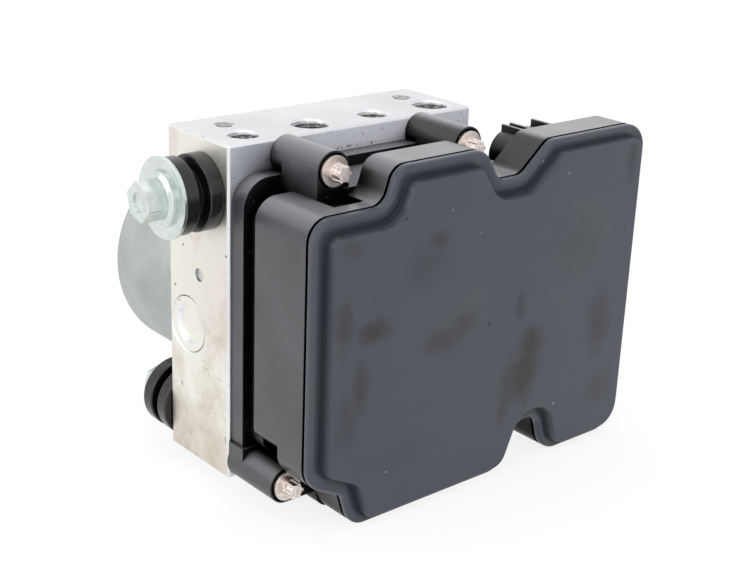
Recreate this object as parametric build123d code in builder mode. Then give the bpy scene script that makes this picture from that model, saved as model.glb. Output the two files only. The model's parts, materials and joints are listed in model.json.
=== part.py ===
from build123d import *
import os
from math import sin, cos, tan, radians

os.makedirs("parts", exist_ok=True)

# Millimetres. X runs along the valve block's width, Y from the controller side to the
# motor side, Z up towards the pipe ports. The origin is the middle of the block's
# underside.

# ---- valve block ----
block_width = 90.0
block_depth = 30.0
block_height = 100.0
block_edge = 0.6
front = -block_depth / 2
back = block_depth / 2
side = block_width / 2

press_gap = 0.02          # radial, between a pressed or screwed piece and its bore
running_gap = 0.05        # radial, a shaft or piston in its bore
free_gap = 0.3            # between pieces that only pass each other

# ---- pipe ports on top: M10 and M12 in turn ----
port_first_x = -34.0
port_pitch = 23.3
port_y = -6.3
port_depth = 11.0
small_port_radius = 4.5
large_port_radius = 5.5
port_chamfer = 0.7
port_radii = [small_port_radius, large_port_radius, small_port_radius, large_port_radius]
port_bottom = block_height - port_depth
gallery_radius = 1.5

# ---- master cylinder ports on the motor side ----
feed_port_x = 23.3
feed_port_z = block_height - 12.0
feed_port_depth = 14.5

# ---- valves: two rows of four ----
valve_pitch = 20.4
row_middle = 1.5          # the row's four valves are numbered 0 to 3
valve_columns = [valve_pitch * (number - row_middle) for number in range(4)]
upper_row = block_height - 30.0
lower_row = 22.0
valve_rows = [upper_row, lower_row]
valve_bore_radius = 4.0
valve_bore_depth = 12.0
valve_spots = [(x, z) for z in valve_rows for x in valve_columns]
tube_radius = 3.0
tube_wall = 0.35
tube_length = 16.5
plunger_length = 9.0
valve_stroke = 0.3
coil_radius = 6.8
yoke_radius = 7.6
yoke_wall = 0.8
yoke_length = 15.0
coil_pin_radius = 0.4
coil_pin_reach = 5.2
coil_pin_spots = [
    (x + shift, z)
    for x, z in valve_spots
    for shift in (-coil_pin_reach, coil_pin_reach)
]
valve_seat_depth = 3.0
valve_passage_radius = 1.0
needle_length = 3.5

# ---- pump ----
pump_y = 5.6
pump_z = 42.0
pump_bore_radius = 6.0
cap_radius = 8.4
cap_depth = 3.5
cap_mouth = 0.6           # chamfer round the cap's seat
cap_sunk = 0.3
cap_rim = 2.2
cap_dish = 1.0
cap_dish_slope = 35
eccentric_offset = 1.0
eccentric_radius = 6.5
eccentric_ring_radius = 8.0
eccentric_length = 8.8
piston_radius = 3.0
piston_length = 15.0
piston_tail_radius = 1.3
piston_tail_length = 4.0
sleeve_inner_end = 14.0
chamber_radius = 10.5
chamber_depth = 17.0
piston_face = eccentric_ring_radius + eccentric_offset + free_gap
sleeve_outer_end = side - cap_depth
pump_spring_radius = 2.2
pump_spring_wire = 0.5
drill_first_x = -32.3
drill_second_x = 34.5
drill_y = 5.4
ball_radius = 3.0
ball_seat = 3.2
side_plug_y = -0.5
side_plug_z = 59.0
side_plug_radius = 2.0
side_plug_depth = 4.0
side_plug_sunk = 0.5
sleeve_end_wall = 2.5
sleeve_bore_end = sleeve_outer_end - sleeve_end_wall
sleeve_groove_x = drill_second_x - 1.2
sleeve_groove_reach = 2.5
sleeve_groove_depth = 0.8
sleeve_port_radius = 0.9
pump_spring_length = 7.0
pump_spring_pitch = 1.75
ball_plug_length = 1.4
ball_sunk = 0.2

# ---- low pressure accumulators, from below ----
store_x = 20.4
store_y = 4.0
store_radius = 7.5
store_depth = 24.0
store_cap_radius = 8.6
store_cap_depth = 3.0
store_piston_height = 6.0
store_piston_wall = 1.6
store_spring_radius = 5.0
store_spring_wire = 1.0
store_spring_turns = 4
store_vent_radius = 0.8
store_piston_low = store_depth - free_gap - store_piston_height
store_spring_top = store_piston_low + store_piston_height - store_piston_wall
store_spring_length = store_spring_top - store_cap_depth - 2 * store_spring_wire
store_drill_radius = 1.2
store_drill_shift = 3.2
store_drills = [
    (store_side * store_x + step * (valve_columns[3] - store_x - store_drill_shift), lower_row)
    for store_side in (-1, 1)
    for step in (-1, 1)
]

# ---- pump motor ----
motor_z = pump_z
motor_radius = 34.7
motor_wall = 2.0
motor_length = 50.0
motor_far = back + motor_length
motor_edge = 2.5
ear_angles = [155.0, -25.0]
ear_reach = 39.0
ear_radius = 5.0
ear_thickness = 2.5
ear_screw_radius = 2.0
ear_screw_depth = 7.0
shaft_radius = 4.0
bearing_radius = 11.0
bearing_length = 4.8
brush_plate_thickness = 2.0
commutator_radius = 9.0
commutator_length = 9.0
core_radius = 27.5
core_length = 20.0
core_slots = 10
winding_radius = 24.0
winding_length = 5.0
magnet_gap = 0.7
magnet_length = 26.0
bush_radius = 7.0
bush_length = 3.0
terminal_z = 62.0
terminal_radius = 3.5
ear_head_height = 3.2
shaft_front = -0.6
commutator_back = back + brush_plate_thickness + 0.5
brush_middle = commutator_back + commutator_length / 2
brush_size = 5.0
brush_wall = 0.8
brush_box_length = 13.0
brush_box_middle = commutator_radius + brush_box_length / 2 + 0.8
core_back = commutator_back + commutator_length + winding_length + 0.5
core_slot_depth = 14.0
core_slot_width = 3.0
magnet_far = core_back + core_length / 2 + magnet_length / 2
magnet_split = 24.0
ear_spots = [
    (ear_reach * cos(radians(a)), motor_z + ear_reach * sin(radians(a))) for a in ear_angles
]

# ---- controller housing ----
flange_thickness = 5.5
flange_half = 43.85
flange_bottom = 0.5
flange_top = block_height - 8.5
flange_top_corner = 8.5
flange_low_corner = 5.0
saddle_top = block_height - 6.7
groove_width = 5.3
neck_wall = 1.8
coil_gap = 0.5
neck_half = valve_columns[-1] + yoke_radius + coil_gap + neck_wall
neck_bottom = 11.5
neck_top = block_height - 15.4
neck_corner_low = 4.0
neck_corner_high = 5.5
chamber_corner = 3.0
wall = 2.2
housing_left = -43.7
housing_right = 85.5
housing_top = block_height - 1.7
right_top = block_height - 2.6
shoulder_top = block_height - 12.1
bridge_top = block_height - 9.8
bridge_inset = 3.0
housing_bottom = -5.2
deep_half = 43.7
raised_back = -37.0
seam = -47.9
seam_gap = 1.1
seam_inset = 1.2
seal_width = 0.9
tower_radius = 5.5
tower_front = -36.0
upper_tower_x = [-25.7, 23.8]
upper_tower_z = block_height - 4.7
lower_left_tower = (-39.8, 5.7)
lower_right_tower = (40.0, 4.7)
tower_spots = [(x, upper_tower_z) for x in upper_tower_x] + [lower_left_tower, lower_right_tower]
screw_radius = 2.5
screw_depth = 9.0
screw_flange_radius = 4.4
screw_flange_thickness = 1.0
screw_collar_radius = 2.7
screw_collar_height = 1.2
screw_lobe_radius = 2.0
screw_lobe_bump = 0.5
screw_head_height = 4.0
tower_ring_inner = 3.7
tower_ring_outer = 5.0
tower_ring_depth = 1.5
tower_web_width = 10.4
tower_web_height = 4.2
tower_web_drop = 5.5
head_room = 0.8
flange_face = front - flange_thickness
body_face = flange_face - groove_width
chamber_half = neck_half - neck_wall
chamber_low = neck_bottom + neck_wall
chamber_high = neck_top - neck_wall
seal_offset = 2.6
seal_depth = 1.4

# step down beside the first tower
step_foot_x = -19.0
step_top_x = -15.6
# dip under the second tower
dip_left_top = 16.6
dip_left_foot = 23.0
dip_right_foot = 33.0
dip_right_top = 43.6
dip_floor = block_height - 11.7
# notch over the lower right tower
notch_left_low = 31.3
notch_left_high = 37.1
notch_right_high = 46.3
notch_right_low = 50.5
notch_top = 8.9
# cut-away over the lower left tower
cut_low_x = -27.9
cut_high_x = -31.3
cut_high_z = 5.7
cut_side_z = 12.1
deep_cut_low_x = -28.7
deep_cut_high_x = -31.8
deep_cut_high_z = 10.5
deep_cut_side_z = 19.0
# pocket in front of the first tower
pocket_left = -31.2
pocket_right = -21.2
pocket_front = -43.4
pocket_depth = 2.1
pocket_floor = 1.1
# foot beside the lower left tower
foot_left = -44.7
foot_low = 6.3
foot_high = 12.2
foot_front = -21.8

# ---- lid ----
lid_back = seam - seam_gap
lid_rim = 2.4
lid_face = -53.5
lid_round = 1.3
rim_width = 4.3
rim_width_flank = 4.8
rim_width_top = 3.8
rim_width_narrow = 3.1
rim_width_right = 2.4
rim_width_low = 1.6
valley_inset = 1.1
valley_depth = 0.9
valley_slope = 75
face_corner = 3.2
inner_round = 0.7         # share of the rim that a hollow corner's round grows by
face_taper = 20
face_round = 0.5
lid_wall = 1.6
hollow_inset = 6.9

# ---- connector ----
shroud_left = 46.6
shroud_right = 69.0
shroud_low = 20.0
shroud_high = block_height - 6.8
shroud_mouth = -22.5
shroud_wall = 1.8
shroud_corner = 7.0
shroud_rib_x = [52.0, 55.4, 65.0]
shroud_rib_height = 1.9
shroud_rib_thickness = 1.1
pin_size = 0.63
pin_rows = 13
pin_columns = 3
pin_pitch = 4.0
pin_column_pitch = 4.4
blade_width = 4.8
blade_thickness = 0.8
pin_length = 13.0
first_pin_rise = 15.0
blade_rise = 6.5
blade_drop = 5.5
shroud_middle = (shroud_left + shroud_right) / 2
pin_spots = [
    (shroud_middle + pin_column_pitch * (column - 1), shroud_low + first_pin_rise + pin_pitch * row)
    for column in range(pin_columns)
    for row in range(pin_rows)
]
blade_spots = [
    (shroud_middle + shift, z)
    for z in (shroud_low + blade_rise, shroud_high - blade_drop)
    for shift in (-pin_column_pitch, pin_column_pitch)
]

# ---- circuit board ----
board_back = -41.0
board_thickness = 1.6
board_inset = 3.4
chip_size = 14.0
chip_height = 1.2
chip_spots = [(-16.0, 44.0), (20.0, 46.0)]
driver_size = 8.0
driver_first_x = -24.0
driver_pitch = 16.0
driver_rows = [12.0, block_height - 24.0]
driver_spots = [(driver_first_x + driver_pitch * column, z) for column in range(4) for z in driver_rows]
post_radius = 2.0
post_inset = 9.0
post_rise = 12.0
middle_post = (40.0, 50.0)
post_spots = [
    (housing_right - post_inset, post_rise),
    (housing_right - post_inset, housing_top - post_rise),
    middle_post,
]
pin_poke = 0.8
terminal_pin_radius = 0.9

# ---- rubber mounts ----
mount_y = -2.7
mount_z = block_height - 15.4
back_mount_x = -36.5
back_mount_z = 11.0
rubber_radius = 11.0
rubber_groove_radius = 7.2
rubber_ring = 4.6
rubber_groove = 3.2
rubber_bore = 6.0
rubber_length = 2 * rubber_ring + rubber_groove
bush_wall = 1.9
bolt_radius = 4.0
bolt_depth = 9.0
washer_radius = 11.6
washer_thickness = 1.0
small_washer_radius = 8.6
head_flange_radius = 8.0
head_flange_thickness = 1.1
head_flange_margin = 1.0
head_cone_height = 0.9
head_cone_slope = 50
hex_flats = 10.0
hex_height = 6.2
hex_dish = 0.5
hex_dish_radius = 2.8
hex_turn = 16
rubber_round = 0.5


def across(y):
    # plane in X and Z at this Y; an extrusion from it runs towards the controller side
    return Plane.XZ.offset(-y)


def rounded_outline(corners):
    # closed outline through corners given as x, z and corner radius
    points = [Vector(x, z) for x, z, radius in corners]
    count = len(corners)
    ends = []
    for index in range(count):
        corner = points[index]
        radius = corners[index][2]
        before = (points[index - 1] - corner).normalized()
        after = (points[(index + 1) % count] - corner).normalized()
        half = radians(before.get_angle(after) / 2)
        reach = radius / tan(half)
        inward = (before + after).normalized()
        middle = corner + inward * (radius / sin(half) - radius)
        ThreePointArc(corner + before * reach, middle, corner + after * reach)
        ends.append((corner + before * reach, corner + after * reach))
    for index in range(count):
        Line(ends[index - 1][1], ends[index][0])


def inset_corners(corners, rims):
    # the outline with each edge moved inwards by its own rim; corners keep a round
    count = len(corners)
    points = [Vector(x, z) for x, z, radius in corners]
    along = [(points[(i + 1) % count] - points[i]).normalized() for i in range(count)]
    inset = []
    for index in range(count):
        before = along[index - 1]
        after = along[index]
        turn = before.X * after.Y - before.Y * after.X
        start = points[index] + Vector(before.Y, -before.X) * rims[index - 1]
        other = points[index] + Vector(after.Y, -after.X) * rims[index]
        gap = other - start
        reach = (gap.X * after.Y - gap.Y * after.X) / turn
        corner = start + before * reach
        rim = (rims[index - 1] + rims[index]) / 2
        radius = corners[index][2] + (rim * inner_round if turn > 0 else -rim)
        inset.append((corner.X, corner.Y, max(radius, face_corner)))
    return inset


def seal_corners(grow):
    # the chamber's opening, grown by this much
    return [
        (-chamber_half - grow, chamber_low - grow, chamber_corner + grow),
        (-chamber_half - grow, chamber_high + grow, chamber_corner + grow),
        (chamber_half + grow, chamber_high + grow, chamber_corner + grow),
        (chamber_half + grow, chamber_low - grow, chamber_corner + grow),
    ]


full_corners = [
    (housing_left, cut_side_z, 8.0),
    (housing_left, shoulder_top, 6.5),
    (step_foot_x, shoulder_top, 5.0),
    (step_top_x, housing_top, 5.5),
    (dip_left_top, housing_top, 6.0),
    (dip_left_foot, dip_floor, 5.0),
    (dip_right_foot, dip_floor, 5.0),
    (dip_right_top, right_top, 5.0),
    (housing_right, right_top, 8.0),
    (housing_right, housing_bottom, 10.5),
    (notch_right_low, housing_bottom, 8.0),
    (notch_right_high, notch_top, 5.8),
    (notch_left_high, notch_top, 6.0),
    (notch_left_low, housing_bottom, 8.0),
    (cut_low_x, housing_bottom, 6.3),
    (cut_high_x, cut_high_z, 3.0),
]
# width of the lid's rim beside each edge of the outline, from the left side onwards
face_rims = [
    rim_width,          # left side
    rim_width,          # shoulder
    rim_width_flank,    # step
    rim_width_top,      # top, middle
    rim_width_top,      # dip, left flank
    rim_width,          # dip, floor
    rim_width_flank,    # dip, right flank
    rim_width_narrow,   # top, right
    rim_width_right,    # right side
    rim_width_low,      # bottom, right
    rim_width_narrow,   # notch, right flank
    rim_width_narrow,   # notch, top
    rim_width_low,      # notch, left flank
    rim_width_low,      # bottom, middle
    rim_width_top,      # cut-away, right flank
    rim_width_top,      # cut-away, top
]
deep_corners = [
    (-deep_half, deep_cut_side_z, 3.0),
    (-deep_half, shoulder_top, 6.5),
    (deep_half, shoulder_top, 6.5),
    (deep_half, deep_cut_side_z, 3.0),
    (-deep_cut_high_x, deep_cut_high_z, 5.0),
    (-deep_cut_low_x, housing_bottom, 5.0),
    (deep_cut_low_x, housing_bottom, 5.0),
    (deep_cut_high_x, deep_cut_high_z, 5.0),
]

# ================= valve block =================
with BuildPart() as valve_block:
    Box(block_width, block_depth, block_height, align=(Align.CENTER, Align.CENTER, Align.MIN))
    chamfer(valve_block.edges(), length=block_edge)
    # pipe ports
    for index in range(4):
        x = port_first_x + port_pitch * index
        radius = port_radii[index]
        with BuildSketch(Plane.XY.offset(block_height)):
            with Locations((x, port_y)):
                Circle(radius)
        extrude(amount=-port_depth, mode=Mode.SUBTRACT)
        with BuildSketch(Plane.XY.offset(block_height)):
            with Locations((x, port_y)):
                Circle(radius + port_chamfer)
        extrude(amount=-port_chamfer, taper=45, mode=Mode.SUBTRACT)
        # bore on down to the valve below
        with BuildSketch(Plane.XY.offset(upper_row)):
            with Locations(((x + valve_columns[index]) / 2, port_y)):
                Circle(gallery_radius)
        extrude(amount=port_bottom - upper_row, mode=Mode.SUBTRACT)
    # master cylinder ports
    with BuildSketch(across(back)):
        with Locations((-feed_port_x, feed_port_z), (feed_port_x, feed_port_z)):
            Circle(large_port_radius)
    extrude(amount=feed_port_depth, mode=Mode.SUBTRACT)
    with BuildSketch(across(back)):
        with Locations((-feed_port_x, feed_port_z), (feed_port_x, feed_port_z)):
            Circle(large_port_radius + port_chamfer)
    extrude(amount=port_chamfer, taper=45, mode=Mode.SUBTRACT)
    # valve bores, and the drillings that join the two rows
    with BuildSketch(across(front + valve_bore_depth)):
        with Locations(*valve_spots):
            Circle(valve_bore_radius)
    extrude(amount=valve_bore_depth, mode=Mode.SUBTRACT)
    with BuildSketch(Plane.XY):
        with Locations(*[(x, front + valve_bore_depth / 2) for x in valve_columns]):
            Circle(gallery_radius)
    extrude(amount=upper_row, mode=Mode.SUBTRACT)
    with BuildSketch(Plane.XY):
        with Locations(*[(x, front + valve_bore_depth / 2) for x in valve_columns]):
            Circle(ball_radius)
    extrude(amount=ball_seat, mode=Mode.SUBTRACT)
    # accumulator bores
    with BuildSketch(Plane.XY):
        with Locations((-store_x, store_y), (store_x, store_y)):
            Circle(store_radius)
    extrude(amount=store_depth, mode=Mode.SUBTRACT)
    with BuildSketch(Plane.XY):
        with Locations((-store_x, store_y), (store_x, store_y)):
            Circle(store_cap_radius)
    extrude(amount=store_cap_depth, mode=Mode.SUBTRACT)
    with BuildSketch(Plane.XY.offset(store_depth)):
        with Locations((-store_x, store_y), (store_x, store_y)):
            Circle(gallery_radius)
    extrude(amount=pump_z - store_depth, mode=Mode.SUBTRACT)
    # drillings from each lower valve into its accumulator
    with BuildSketch(across(store_y)):
        with Locations(*store_drills):
            Circle(store_drill_radius)
    extrude(amount=store_y - front - valve_bore_depth, mode=Mode.SUBTRACT)
    # pump bore, cap seats and the eccentric's chamber
    with BuildSketch(Plane.YZ.offset(-side)):
        with Locations((pump_y, pump_z)):
            Circle(pump_bore_radius)
    extrude(amount=block_width, mode=Mode.SUBTRACT)
    with BuildSketch(Plane.YZ.offset(-side)):
        with Locations((pump_y, pump_z)):
            Circle(cap_radius)
    extrude(amount=cap_depth, mode=Mode.SUBTRACT)
    with BuildSketch(Plane.YZ.offset(side)):
        with Locations((pump_y, pump_z)):
            Circle(cap_radius)
    extrude(amount=-cap_depth, mode=Mode.SUBTRACT)
    for direction in (-1, 1):
        with BuildSketch(Plane.YZ.offset(direction * side)):
            with Locations((pump_y, pump_z)):
                Circle(cap_radius + cap_mouth)
        extrude(amount=-direction * cap_mouth, taper=45, mode=Mode.SUBTRACT)
    # small plugged hole above the left cap
    with BuildSketch(Plane.YZ.offset(-side)):
        with Locations((side_plug_y, side_plug_z)):
            Circle(side_plug_radius)
    extrude(amount=side_plug_depth, mode=Mode.SUBTRACT)
    with BuildSketch(across(back)):
        with Locations((0, motor_z)):
            Circle(chamber_radius)
    extrude(amount=chamber_depth, mode=Mode.SUBTRACT)
    with BuildSketch(across(back)):
        with Locations((0, motor_z)):
            Circle(bearing_radius)
    extrude(amount=bearing_length, mode=Mode.SUBTRACT)
    # pump outlet drillings from the top
    for x in (drill_first_x, drill_second_x):
        with BuildSketch(Plane.XY.offset(block_height)):
            with Locations((x, drill_y)):
                Circle(gallery_radius)
        extrude(amount=pump_z - block_height, mode=Mode.SUBTRACT)
        with BuildSketch(Plane.XY.offset(block_height)):
            with Locations((x, drill_y)):
                Circle(ball_radius)
        extrude(amount=-ball_seat, mode=Mode.SUBTRACT)
    # motor lead bore
    with BuildSketch(across(back)):
        with Locations((0, terminal_z)):
            Circle(terminal_radius)
    extrude(amount=block_depth, mode=Mode.SUBTRACT)
    # screw holes: housing, motor, mounts
    with BuildSketch(across(front + screw_depth)):
        with Locations(*tower_spots):
            Circle(screw_radius + press_gap)
    extrude(amount=screw_depth, mode=Mode.SUBTRACT)
    with BuildSketch(across(back)):
        with Locations(*ear_spots):
            Circle(ear_screw_radius + press_gap)
    extrude(amount=ear_screw_depth, mode=Mode.SUBTRACT)
    with BuildSketch(across(back)):
        with Locations((back_mount_x, back_mount_z)):
            Circle(bolt_radius + press_gap)
    extrude(amount=bolt_depth, mode=Mode.SUBTRACT)
    with BuildSketch(Plane.YZ.offset(-side)):
        with Locations((mount_y, mount_z)):
            Circle(bolt_radius + press_gap)
    extrude(amount=bolt_depth, mode=Mode.SUBTRACT)
valve_block.part.label = "valve_block"
export_step(valve_block.part, "parts/valve_block.step")

# ================= controller housing =================
with BuildPart() as controller_housing:
    # flange against the block
    with BuildSketch(across(front)):
        with BuildLine():
            rounded_outline([
                (-flange_half, flange_bottom, flange_low_corner),
                (-flange_half, flange_top, flange_top_corner),
                (flange_half, flange_top, flange_top_corner),
                (flange_half, flange_bottom, flange_low_corner),
            ])
        make_face()
        with Locations(*tower_spots):
            Circle(tower_radius)
        with Locations(((upper_tower_x[0] + upper_tower_x[1]) / 2, neck_top)):
            Rectangle(
                upper_tower_x[1] - upper_tower_x[0],
                saddle_top - neck_top,
                align=(Align.CENTER, Align.MIN),
            )
    extrude(amount=flange_thickness)
    # neck behind the black groove
    with BuildSketch(across(flange_face)):
        with BuildLine():
            rounded_outline([
                (-neck_half, neck_bottom, neck_corner_low),
                (-neck_half, neck_top, neck_corner_high),
                (neck_half, neck_top, neck_corner_high),
                (neck_half, neck_bottom, neck_corner_low),
            ])
        make_face()
    extrude(amount=groove_width)
    # deep middle of the body
    with BuildSketch(across(body_face)):
        with BuildLine():
            rounded_outline(deep_corners)
        make_face()
    extrude(amount=body_face - raised_back)
    # bridge between the upper towers
    with BuildSketch(across(flange_face)):
        with Locations(((upper_tower_x[0] + upper_tower_x[1]) / 2, neck_top - wall)):
            Rectangle(
                upper_tower_x[1] - upper_tower_x[0] - 2 * bridge_inset,
                bridge_top - neck_top + wall,
                align=(Align.CENTER, Align.MIN),
            )
    extrude(amount=flange_face - raised_back)
    # full outline up to the seam
    with BuildSketch(across(raised_back)):
        with BuildLine():
            rounded_outline(full_corners)
        make_face()
    extrude(amount=raised_back - seam)
    # screw towers, round outside with flat flanks towards the body
    with BuildSketch(across(flange_face)):
        with Locations(*tower_spots):
            Circle(tower_radius)
        with Locations(*[(x, upper_tower_z) for x in upper_tower_x]):
            Rectangle(2 * tower_radius, upper_tower_z - neck_top, align=(Align.CENTER, Align.MAX))
        with Locations((lower_left_tower[0], lower_left_tower[1] - tower_web_drop)):
            Rectangle(tower_web_width, tower_web_height, align=(Align.MIN, Align.MIN))
        with Locations((lower_right_tower[0], lower_right_tower[1] - tower_web_drop)):
            Rectangle(tower_web_width, tower_web_height, align=(Align.MAX, Align.MIN))
    extrude(amount=flange_face - tower_front)
    # foot beside the lower left tower
    with BuildSketch(across(front)):
        with Locations((foot_left, foot_low)):
            Rectangle(
                lower_left_tower[0] - foot_left,
                foot_high - foot_low,
                align=(Align.MIN, Align.MIN),
            )
    extrude(amount=front - foot_front)
    # connector shroud beside the block
    with BuildSketch(across(shroud_mouth)):
        with BuildLine():
            rounded_outline([
                (shroud_left, shroud_low, shroud_corner),
                (shroud_left, shroud_high, shroud_corner),
                (shroud_right, shroud_high, shroud_corner),
                (shroud_right, shroud_low, shroud_corner),
            ])
        make_face()
    extrude(amount=shroud_mouth - raised_back)
    with BuildSketch(across(shroud_mouth)):
        with Locations(*[(x, shroud_high - shroud_rib_height) for x in shroud_rib_x]):
            Rectangle(
                shroud_rib_thickness,
                2 * shroud_rib_height,
                align=(Align.CENTER, Align.MIN),
            )
    extrude(amount=shroud_mouth - raised_back)
    # opening onto the block for the valves and coils
    with BuildSketch(across(front)):
        with BuildLine():
            rounded_outline(seal_corners(0.0))
        make_face()
    extrude(amount=front - body_face + wall, mode=Mode.SUBTRACT)
    # seal groove round that opening
    with BuildSketch(across(front)):
        with BuildLine():
            rounded_outline(seal_corners(seal_offset + seal_width))
        make_face()
        with BuildLine():
            rounded_outline(seal_corners(seal_offset - seal_width))
        make_face(mode=Mode.SUBTRACT)
    extrude(amount=seal_depth, mode=Mode.SUBTRACT)
    # hollow of the deep middle
    with BuildSketch(across(body_face - wall)):
        with BuildLine():
            rounded_outline(deep_corners)
        make_face()
        offset(amount=-wall)
    extrude(amount=body_face - wall - raised_back, mode=Mode.SUBTRACT)
    # hollow of the full outline
    with BuildSketch(across(raised_back)):
        with BuildLine():
            rounded_outline(deep_corners)
        make_face()
        offset(amount=-wall)
        with BuildLine():
            rounded_outline(full_corners)
        make_face(mode=Mode.INTERSECT)
    extrude(amount=wall, mode=Mode.SUBTRACT)
    with BuildSketch(across(raised_back - wall)):
        with BuildLine():
            rounded_outline(full_corners)
        make_face()
        offset(amount=-wall)
    extrude(amount=raised_back - wall - seam, mode=Mode.SUBTRACT)
    # socket of the connector
    with BuildSketch(across(shroud_mouth)):
        with BuildLine():
            rounded_outline([
                (shroud_left + shroud_wall, shroud_low + shroud_wall, shroud_corner - shroud_wall),
                (shroud_left + shroud_wall, shroud_high - shroud_wall, shroud_corner - shroud_wall),
                (shroud_right - shroud_wall, shroud_high - shroud_wall, shroud_corner - shroud_wall),
                (shroud_right - shroud_wall, shroud_low + shroud_wall, shroud_corner - shroud_wall),
            ])
        make_face()
    extrude(amount=shroud_mouth - raised_back, mode=Mode.SUBTRACT)
    # pocket in front of the first tower, with its own floor
    with BuildSketch(across(tower_front + wall)):
        with Locations((pocket_left - pocket_floor, shoulder_top - pocket_depth - pocket_floor)):
            Rectangle(
                pocket_right - pocket_left + 2 * pocket_floor,
                pocket_depth + pocket_floor - wall / 2,
                align=(Align.MIN, Align.MIN),
            )
    extrude(amount=tower_front + 2 * wall - pocket_front)
    with BuildSketch(across(tower_front)):
        with Locations((pocket_left, shoulder_top - pocket_depth)):
            Rectangle(pocket_right - pocket_left, 2 * pocket_depth, align=(Align.MIN, Align.MIN))
    extrude(amount=tower_front - pocket_front, mode=Mode.SUBTRACT)
    # connector pin holes through the rear wall
    with BuildSketch(across(raised_back)):
        with Locations(*pin_spots):
            Rectangle(pin_size + 2 * press_gap, pin_size + 2 * press_gap)
        with Locations(*blade_spots):
            Rectangle(blade_width + 2 * press_gap, blade_thickness + 2 * press_gap)
    extrude(amount=wall, mode=Mode.SUBTRACT)
    # screw holes through the towers
    with BuildSketch(across(front)):
        with Locations(*tower_spots):
            Circle(screw_radius + free_gap)
    extrude(amount=front - tower_front, mode=Mode.SUBTRACT)
    # room for the head of the lower left screw
    with BuildSketch(across(tower_front)):
        with Locations(lower_left_tower):
            Circle(screw_flange_radius + head_room)
    extrude(amount=screw_head_height + head_room, mode=Mode.SUBTRACT)
    # ring groove round each screw's seat
    with BuildSketch(across(tower_front + tower_ring_depth)):
        with Locations(*tower_spots):
            Circle(tower_ring_outer)
            Circle(tower_ring_inner, mode=Mode.SUBTRACT)
    extrude(amount=tower_ring_depth, mode=Mode.SUBTRACT)
controller_housing.part.label = "controller_housing"
export_step(controller_housing.part, "parts/controller_housing.step")

with BuildPart() as housing_seal:
    with BuildSketch(across(front)):
        with BuildLine():
            rounded_outline(seal_corners(seal_offset + seal_width - running_gap))
        make_face()
        with BuildLine():
            rounded_outline(seal_corners(seal_offset - seal_width + running_gap))
        make_face(mode=Mode.SUBTRACT)
    extrude(amount=seal_depth)
housing_seal.part.label = "housing_seal"
export_step(housing_seal.part, "parts/housing_seal.step")

# ================= lid =================
with BuildPart() as housing_lid:
    with BuildSketch(across(lid_back)):
        with BuildLine():
            rounded_outline(full_corners)
        make_face()
    extrude(amount=lid_rim)
    rim_edges = housing_lid.faces().sort_by(Axis.Y)[0].edges()
    fillet(rim_edges, radius=lid_round)
    # valley inside the rolled rim
    with BuildSketch(across(lid_back - lid_rim)):
        with BuildLine():
            rounded_outline(inset_corners(full_corners, [valley_inset] * len(full_corners)))
        make_face()
    extrude(amount=-valley_depth, taper=valley_slope, mode=Mode.SUBTRACT)
    # raised face: wide rim at the left and on top, narrow at the right and below
    with BuildSketch(across(lid_back - lid_rim + valley_depth)):
        with BuildLine():
            rounded_outline(inset_corners(full_corners, face_rims))
        make_face()
    extrude(amount=lid_back - lid_rim + valley_depth - lid_face, taper=face_taper)
    face_edges = housing_lid.faces().sort_by(Axis.Y)[0].edges()
    fillet(face_edges, radius=face_round)
    # hollow behind it
    with BuildSketch(across(lid_back)):
        with BuildLine():
            rounded_outline(full_corners)
        make_face()
        offset(amount=-hollow_inset)
    extrude(amount=lid_back - lid_face - lid_wall, mode=Mode.SUBTRACT)
housing_lid.part.label = "housing_lid"
export_step(housing_lid.part, "parts/housing_lid.step")

with BuildPart() as lid_seal:
    with BuildSketch(across(seam)):
        with BuildLine():
            rounded_outline(full_corners)
        make_face()
        offset(amount=-seam_inset)
    extrude(amount=seam_gap)
    with BuildSketch(across(seam)):
        with BuildLine():
            rounded_outline(full_corners)
        make_face()
        offset(amount=-seam_inset - seal_width)
    extrude(amount=seam_gap, mode=Mode.SUBTRACT)
lid_seal.part.label = "lid_seal"
export_step(lid_seal.part, "parts/lid_seal.step")

# ================= valves =================
with BuildPart() as valve_cartridges:
    with BuildSketch(across(front + valve_bore_depth - free_gap)):
        with Locations(*valve_spots):
            Circle(valve_bore_radius - press_gap)
    extrude(amount=valve_bore_depth - free_gap)
    with BuildSketch(across(front)):
        with Locations(*valve_spots):
            Circle(tube_radius)
    extrude(amount=tube_length)
    with BuildSketch(across(front + valve_seat_depth)):
        with Locations(*valve_spots):
            Circle(tube_radius - tube_wall)
    extrude(amount=valve_seat_depth + tube_length - tube_wall, mode=Mode.SUBTRACT)
    with BuildSketch(across(front + valve_bore_depth)):
        with Locations(*valve_spots):
            Circle(valve_passage_radius)
    extrude(amount=valve_bore_depth - valve_seat_depth, mode=Mode.SUBTRACT)
valve_cartridges.part.label = "valve_cartridges"
export_step(valve_cartridges.part, "parts/valve_cartridges.step")

for number, (x, z) in enumerate(valve_spots):
    with BuildPart() as valve_plunger:
        with BuildSketch(across(front + valve_seat_depth - free_gap - valve_stroke)):
            with Locations((x, z)):
                Circle(tube_radius - tube_wall - running_gap)
        extrude(amount=plunger_length)
        with BuildSketch(across(front + valve_seat_depth - free_gap - valve_stroke + needle_length)):
            with Locations((x, z)):
                Circle(valve_passage_radius - free_gap)
        extrude(amount=needle_length)
    node = "valve_plunger_" + str(number + 1)
    valve_plunger.part.label = node
    export_step(valve_plunger.part, "parts/" + node + ".step")

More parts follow.
